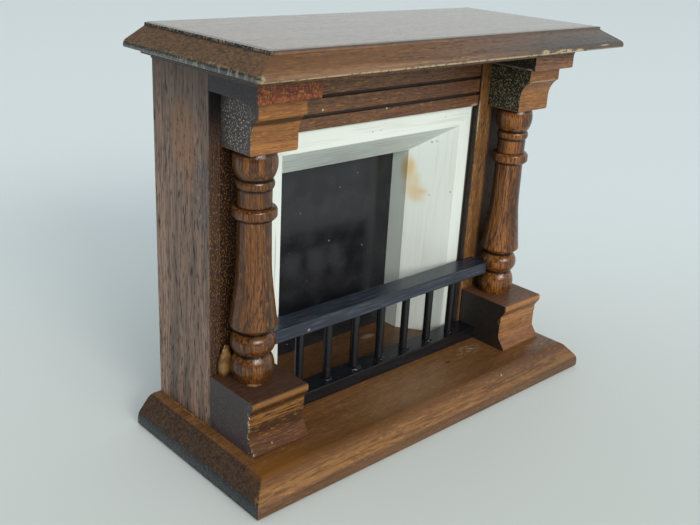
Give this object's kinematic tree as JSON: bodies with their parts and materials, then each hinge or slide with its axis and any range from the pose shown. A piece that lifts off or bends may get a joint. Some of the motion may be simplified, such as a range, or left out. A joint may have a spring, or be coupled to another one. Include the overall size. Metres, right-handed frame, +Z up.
{
  "type": "fireplace surround",
  "caption": "Miniature wooden fireplace surround: moulded hearth and mantel shelf, turned columns on plinths, white mitred frame round the fire opening, black spindle fender.",
  "frame": {"origin": "on the floor under the middle of the hearth board, the bottom centre of the bounding box", "axes": "+Z up, -Y out of the front towards the room, +X to the right for someone facing the front, +Y into the wall"},
  "size_m": [0.125, 0.0524, 0.104],
  "materials": {
    "stained_wood": "brown stained open-grained hardwood, satin",
    "varnished_wood": "brown stained turned hardwood under gloss varnish",
    "red_stained_wood": "reddish brown stained hardwood, satin",
    "white_paint": "wood under brushed off-white satin paint",
    "black_gloss_paint": "board under smooth black gloss paint",
    "black_satin_paint": "wood under brushed black satin paint"
  },
  "bodies": {
    "root": {"hearth_board": "stained_wood", "side_panel_left": "stained_wood", "side_panel_right": "stained_wood", "post_left": "stained_wood", "post_right": "stained_wood", "frieze_board": "stained_wood", "back_panel": "black_gloss_paint", "frame_left": "white_paint", "frame_right": "white_paint", "frame_top": "white_paint", "plinth_left": "stained_wood", "plinth_right": "stained_wood", "column_left": "varnished_wood", "column_right": "varnished_wood", "capital_block_left": "stained_wood", "capital_block_right": "stained_wood", "capital_strip_left": "red_stained_wood", "capital_strip_right": "red_stained_wood", "bed_board": "stained_wood", "mantel_shelf": "stained_wood", "fender_top_rail": "black_satin_paint", "fender_bottom_rail": "black_satin_paint", "baluster_1": "black_satin_paint", "baluster_2": "black_satin_paint", "baluster_3": "black_satin_paint", "baluster_4": "black_satin_paint", "baluster_5": "black_satin_paint", "baluster_6": "black_satin_paint", "baluster_7": "black_satin_paint"}
  },
  "joints": []
}
